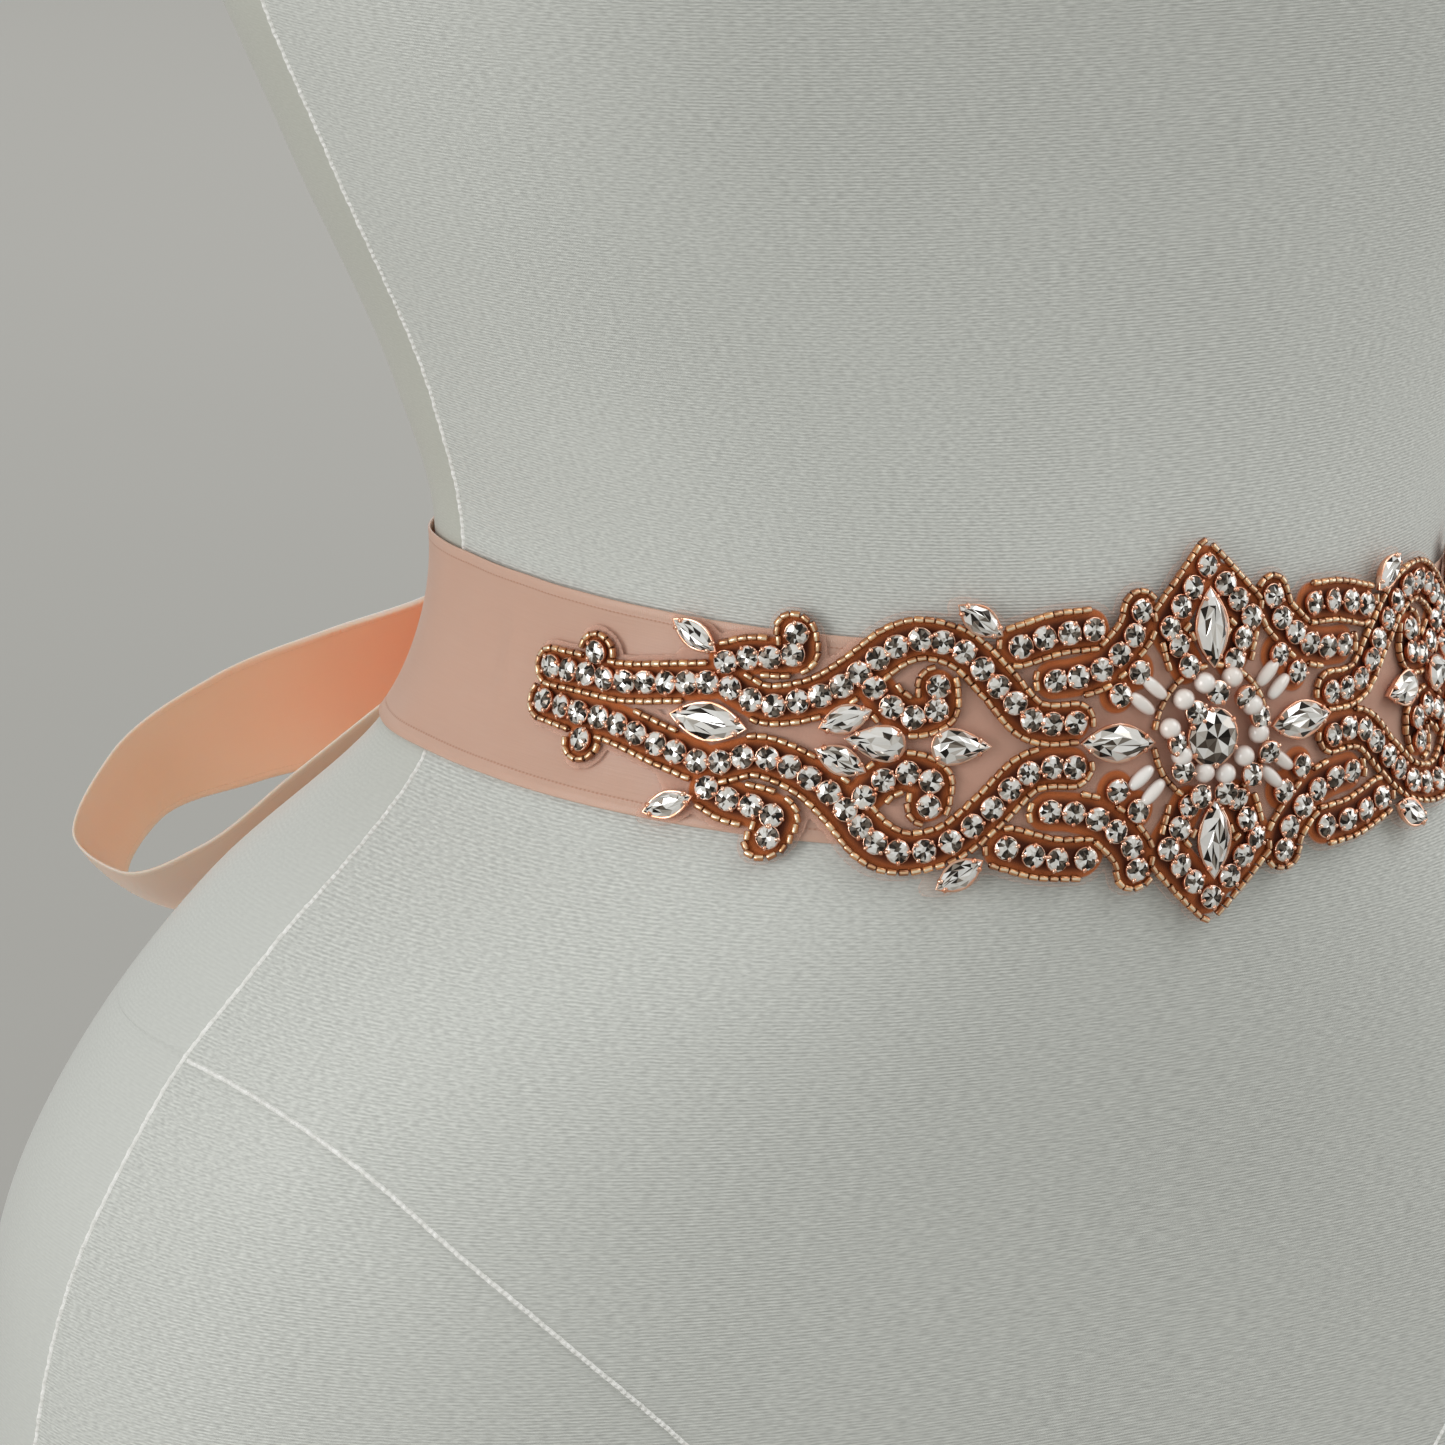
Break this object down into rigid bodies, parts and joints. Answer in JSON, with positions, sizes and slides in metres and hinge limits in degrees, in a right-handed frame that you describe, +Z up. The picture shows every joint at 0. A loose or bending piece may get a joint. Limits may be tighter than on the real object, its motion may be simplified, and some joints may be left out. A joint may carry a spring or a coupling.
{
  "type": "bridal sash on a dress form",
  "caption": "Satin ribbon sash with a rhinestone applique in front and a bow behind, round the waist of a limbless dress form.",
  "frame": {"origin": "on the surface that the form stands on, at the middle of the base's underside", "axes": "+Z up, -Y the wearer's front, +X the wearer's left"},
  "size_m": [0.3822, 0.2349, 0.7623],
  "materials": {
    "satin": "peach satin ribbon with a woven edge",
    "beading": "rose gold cups, clear stones, pearls and seed beads on net",
    "jersey": "off-white jersey with fine crosswise ribs",
    "beech": "satin varnish"
  },
  "bodies": {
    "root": {"ribbon_waist": "satin", "applique": "beading", "bow_knot": "satin", "bow_loop_left": "satin", "bow_loop_right": "satin", "tail_left": "satin", "tail_right": "satin", "form_torso": "jersey", "form_neck_cap": "beech", "form_arm_plate_left": "beech", "form_arm_plate_right": "beech", "form_base": "beech"}
  },
  "joints": []
}
